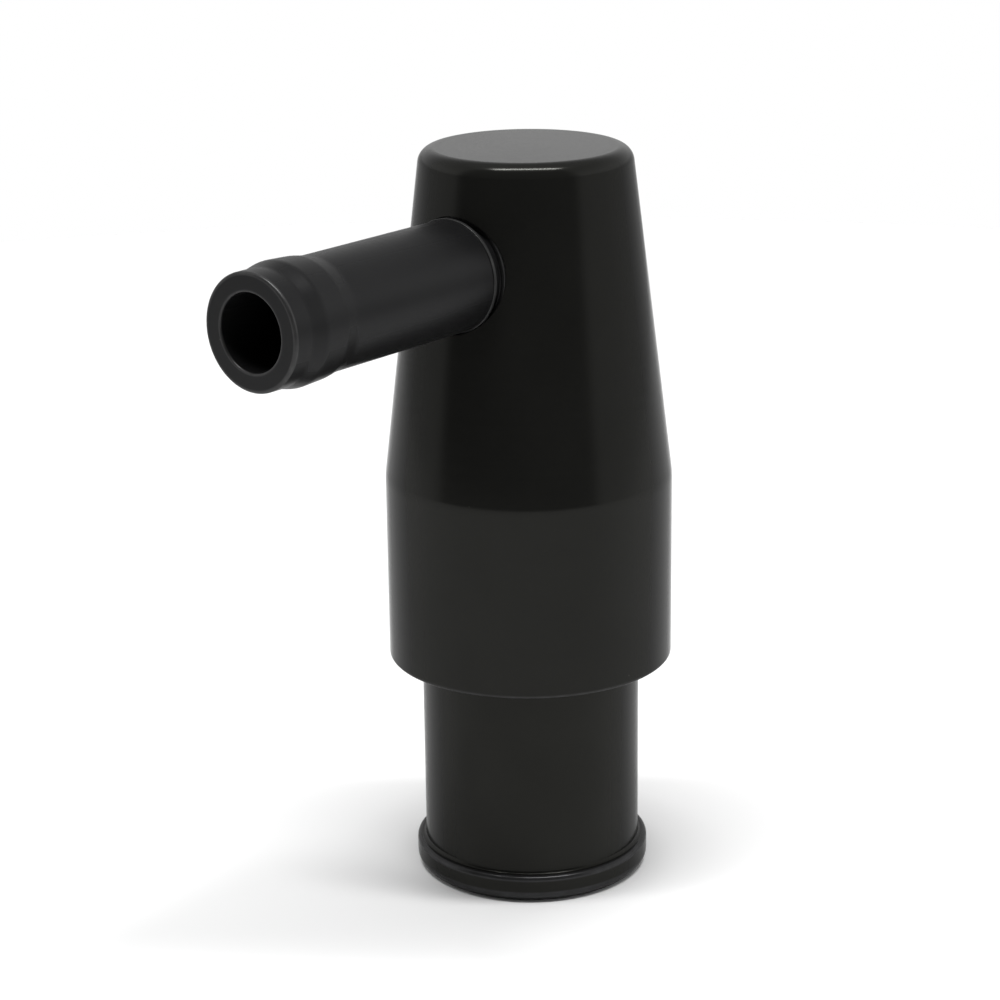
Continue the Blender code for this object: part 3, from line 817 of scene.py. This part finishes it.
# ---- stem guide and what sits on it -------------------------------------------------------
def build_guide():
    """Outer ring, hub and three arms with filleted roots, as one moulding."""
    ring = washer("spider", GUIDE_INNER_R, guide_high.y, GUIDE_Z, guide_high.z, 0.15 * MM, MEDIUM)
    half = ARM_WIDTH / 2
    root_r = (HUB_R + HUB_BORE_R) / 2
    rim_r = (GUIDE_INNER_R + guide_high.y) / 2
    windows = []
    for i in range(ARMS):
        first = math.tau * i / ARMS
        last = first + math.tau / ARMS
        corners = []
        for radius, ends in ((HUB_R, (last, first)), (GUIDE_INNER_R, (first, last))):
            lean = math.asin(half / radius)
            begin = ends[0] + (lean if ends[0] == first else -lean)
            stop = ends[1] + (lean if ends[1] == first else -lean)
            for k in range(WINDOW_STEPS + 1):
                angle = begin + (stop - begin) * k / WINDOW_STEPS
                fillet = ARM_FILLET if k in (0, WINDOW_STEPS) else 0.0
                corners.append((radius * math.cos(angle), radius * math.sin(angle), fillet))
        windows.append([tuple(place) for place, _, _ in filleted(corners)])
    arms_low = GUIDE_Z + ARM_INSET
    arms_high = guide_high.z - ARM_INSET
    loops = [circle(rim_r, MEDIUM), circle(root_r, SMALL), *windows]
    arms = plate("arms", loops, arms_low, arms_high, SOFT)
    hub = washer("hub", HUB_BORE_R, HUB_R, guide_low.z, guide_high.z, 0.12 * MM, SMALL)
    combine(ring, arms, "UNION")
    combine(ring, hub, "UNION")
    finished(smooth(ring), "acetal", HOUSING, "stem_guide")


def build_guide_fittings():
    bush = turned("bush", [
        (BUSH_BORE_R, bush_low.z, 0.08 * MM),
        (BUSH_R, bush_low.z, 0.08 * MM),
        (BUSH_R, BUSH_FLANGE_Z, BREAK),
        (bush_high.x, BUSH_FLANGE_Z, SOFT),
        (bush_high.x, bush_high.z, 0.12 * MM),
        (BUSH_BORE_R, bush_high.z, 0.12 * MM),
    ], SMALL)
    finished(bush, "brass", HOUSING, "guide_bush")
    bumper = washer("bumper", BUSH_BORE_R, bumper_high.x, bumper_low.z, bumper_high.z, 0.15 * MM, SMALL)
    finished(bumper, "seal_rubber", HOUSING, "lift_bumper")
    shim = washer("shim", SHIM_BORE_R, shim_high.x, shim_low.z, shim_high.z)
    finished(shim, "stainless", HOUSING, "spring_shim")
    spacer = washer("spacer_washer", WASHER_BORE_R, washer_high.x, washer_low.z, washer_high.z)
    finished(spacer, "stainless", HOUSING, "guide_washer")


def build_spring():
    """A compression spring with closed ends, swept by a round wire."""
    coil_r = spring_high.y - WIRE_R
    low_z = spring_low.z + WIRE_R
    high_z = spring_high.z - WIRE_R
    open_rise = high_z - low_z - 2 * CLOSED_RISE
    open_turns = COIL_TURNS - 2 * COIL_CLOSED
    path = []
    for i in range(COIL_STEPS + 1):
        turn = COIL_TURNS * i / COIL_STEPS
        first = min(turn, COIL_CLOSED) / COIL_CLOSED
        last = max(turn - COIL_TURNS + COIL_CLOSED, 0.0) / COIL_CLOSED
        middle = min(max(turn - COIL_CLOSED, 0.0), open_turns) / open_turns
        height = low_z + CLOSED_RISE * (first + last) + open_rise * middle
        angle = math.tau * turn
        path.append(Vector((coil_r * math.cos(angle), coil_r * math.sin(angle), height)))
    verts = []
    faces = []
    for i, centre in enumerate(path):
        along = path[min(i + 1, COIL_STEPS)] - path[max(i - 1, 0)]
        out = Vector((centre.x, centre.y, 0)).normalized()
        up = along.cross(out).normalized()
        shrink = WIRE_END if i in (0, COIL_STEPS) else 1.0
        for k in range(WIRE_SIDES):
            angle = math.tau * k / WIRE_SIDES
            verts.append(centre + (out * math.cos(angle) + up * math.sin(angle)) * WIRE_R * shrink)
    for i in range(COIL_STEPS):
        for k in range(WIRE_SIDES):
            a = i * WIRE_SIDES + k
            b = i * WIRE_SIDES + (k + 1) % WIRE_SIDES
            faces.append((a, b, b + WIRE_SIDES, a + WIRE_SIDES))
    faces.append(tuple(range(WIRE_SIDES))[::-1])
    faces.append(tuple(range(COIL_STEPS * WIRE_SIDES, (COIL_STEPS + 1) * WIRE_SIDES)))
    mesh = bpy.data.meshes.new("coil_spring")
    mesh.from_pydata(verts, [], faces)
    bm = bmesh.new()
    bm.from_mesh(mesh)
    bmesh.ops.recalc_face_normals(bm, faces=bm.faces)
    bm.to_mesh(mesh)
    bm.free()
    mesh.shade_smooth()
    mesh.set_sharp_from_angle(angle=math.radians(50))
    spring = finished(add("coil_spring", mesh), "spring_steel", HOUSING, "return_spring")
    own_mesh(spring)


# ---- stage, light and camera --------------------------------------------------------------
CAMERA_DISTANCE = 229.4 * MM     # level distance from the valve's axis
CAMERA_HEIGHT = 106.4 * MM
CAMERA_AZIMUTH = math.radians(-141.53)
CAMERA_PITCH = 0.3072
CAMERA_YAW = -0.0110
CAMERA_ROLL = -0.0128
CAMERA_LENS = 99.60
SENSOR = 36.0

FLOOR_RADIUS = 0.28
DARK_AZIMUTH = math.radians(-151.5)     # middle of the studio's dark side, behind the camera
DARK_EDGES = (math.radians(58), math.radians(72))
DARK_TOP = (math.sin(math.radians(60)), math.sin(math.radians(75)))     # it fades out towards the zenith
DARK_SHARE = 0.88
WALL_LOW = 0.70                         # at the horizon
WALL_HIGH = 1.15
CEILING = 0.55
WALL_RISE = (math.sin(math.radians(3)), math.sin(math.radians(9)))
WALL_FALL = (math.sin(math.radians(20)), math.sin(math.radians(50)))
OVERHEAD_HEIGHT = 0.9
OVERHEAD_FORWARD = 0.12                 # from above the valve towards the camera
OVERHEAD_SIZE = (0.66, 0.085)
OVERHEAD_RADIANCE = 46.0


def build_camera():
    data = bpy.data.cameras.new("camera")
    data.sensor_width = SENSOR
    data.lens = CAMERA_LENS
    data.clip_start = 0.01
    data.clip_end = 20.0
    camera = add("camera", data)
    outwards = Vector((math.cos(CAMERA_AZIMUTH), math.sin(CAMERA_AZIMUTH), 0))
    place = outwards * CAMERA_DISTANCE + Vector((0, 0, CAMERA_HEIGHT))
    level = -outwards
    side = level.cross(Vector((0, 0, 1)))
    ahead = (level * math.cos(CAMERA_YAW) + side * math.sin(CAMERA_YAW)) * math.cos(CAMERA_PITCH)
    ahead.z = -math.sin(CAMERA_PITCH)
    right = ahead.cross(Vector((0, 0, 1))).normalized()
    up = right.cross(ahead)
    tilted_right = right * math.cos(CAMERA_ROLL) + up * math.sin(CAMERA_ROLL)
    tilted_up = up * math.cos(CAMERA_ROLL) - right * math.sin(CAMERA_ROLL)
    turn = Matrix((tilted_right, tilted_up, -ahead)).transposed()
    camera.matrix_world = Matrix.Translation(place) @ turn.to_4x4()
    bpy.context.scene.camera = camera


def build_floor():
    mesh = bpy.data.meshes.new("floor")
    bm = bmesh.new()
    bmesh.ops.create_circle(bm, cap_ends=True, segments=FLOOR_STEPS, radius=FLOOR_RADIUS)
    bm.to_mesh(mesh)
    bm.free()
    f = Finish("floor", Metallic=0.0, Roughness=0.8, Specular_IOR_Level=0.1)
    f.set("Base Color", f.mix(f.noise(0.02), (0.85, 0.85, 0.85), (0.87, 0.87, 0.87)))
    mesh.materials.append(f.material)
    add("floor", mesh)


def build_panel():
    """A soft light panel overhead, with its long side across the view."""
    long_side, short_side = OVERHEAD_SIZE
    data = bpy.data.lights.new("overhead", "AREA")
    data.shape = "RECTANGLE"
    data.size = long_side
    data.size_y = short_side
    data.energy = OVERHEAD_RADIANCE * math.pi * long_side * short_side
    panel = add("overhead", data)
    forward = Vector((math.cos(CAMERA_AZIMUTH), math.sin(CAMERA_AZIMUTH), 0)) * OVERHEAD_FORWARD
    panel.location = forward + Vector((0, 0, OVERHEAD_HEIGHT))
    panel.rotation_euler = (0, 0, CAMERA_AZIMUTH + math.pi / 2)


def build_walls():
    """Pale studio walls under a dimmer ceiling, with a dark side behind the camera."""
    world = bpy.data.worlds.new("studio")
    bpy.context.scene.world = world
    world.use_nodes = True
    n = Nodes(world.node_tree)
    background = n.tree.nodes["Background"]
    background.inputs["Color"].default_value = (1.0, 1.0, 1.0, 1.0)
    direction = n.node("ShaderNodeTexCoord").outputs["Generated"]
    height = n.node("ShaderNodeSeparateXYZ", {0: direction}).outputs[2]
    level = n.node("ShaderNodeVectorMath", {0: direction, 1: (1, 1, 0)}, operation="MULTIPLY").outputs[0]
    level = n.node("ShaderNodeVectorMath", {0: level}, operation="NORMALIZE").outputs[0]
    middle = (math.cos(DARK_AZIMUTH), math.sin(DARK_AZIMUTH), 0)
    towards = n.node("ShaderNodeVectorMath", {0: level, 1: middle}, operation="DOT_PRODUCT").outputs["Value"]
    inner, outer = DARK_EDGES
    sideways = n.ramp(towards, math.cos(outer), math.cos(inner), kind="SMOOTHSTEP")
    upwards = n.ramp(height, *DARK_TOP, 1.0, 0.0, kind="SMOOTHSTEP")
    dark = n.math("MULTIPLY", sideways, upwards)
    rise = n.ramp(height, *WALL_RISE, WALL_LOW, WALL_HIGH, "SMOOTHSTEP")
    pale = n.math("MULTIPLY", rise, n.ramp(height, *WALL_FALL, 1.0, CEILING / WALL_HIGH))
    lit = n.math("MULTIPLY", pale, n.ramp(dark, 0.0, 1.0, 1.0, 1.0 - DARK_SHARE))
    seen = n.node("ShaderNodeLightPath").outputs["Is Camera Ray"]
    n.tree.links.new(n.math("MAXIMUM", lit, seen), background.inputs["Strength"])


build_camera()
build_floor()
build_panel()
build_walls()
bpy.context.scene.view_settings.view_transform = "Standard"
build_cap()
build_tube()
build_neck()
build_seals()
build_seat()
build_plunger()
build_nut()
circlip("seat_circlip", POCKET_R, seat_ring_low.z, seat_ring_high.z, "seat_retaining_ring")
circlip("guide_circlip", GUIDE_BORE_R, guide_ring_low.z, guide_ring_high.z, "guide_retaining_ring")
build_guide()
build_guide_fittings()
build_spring()
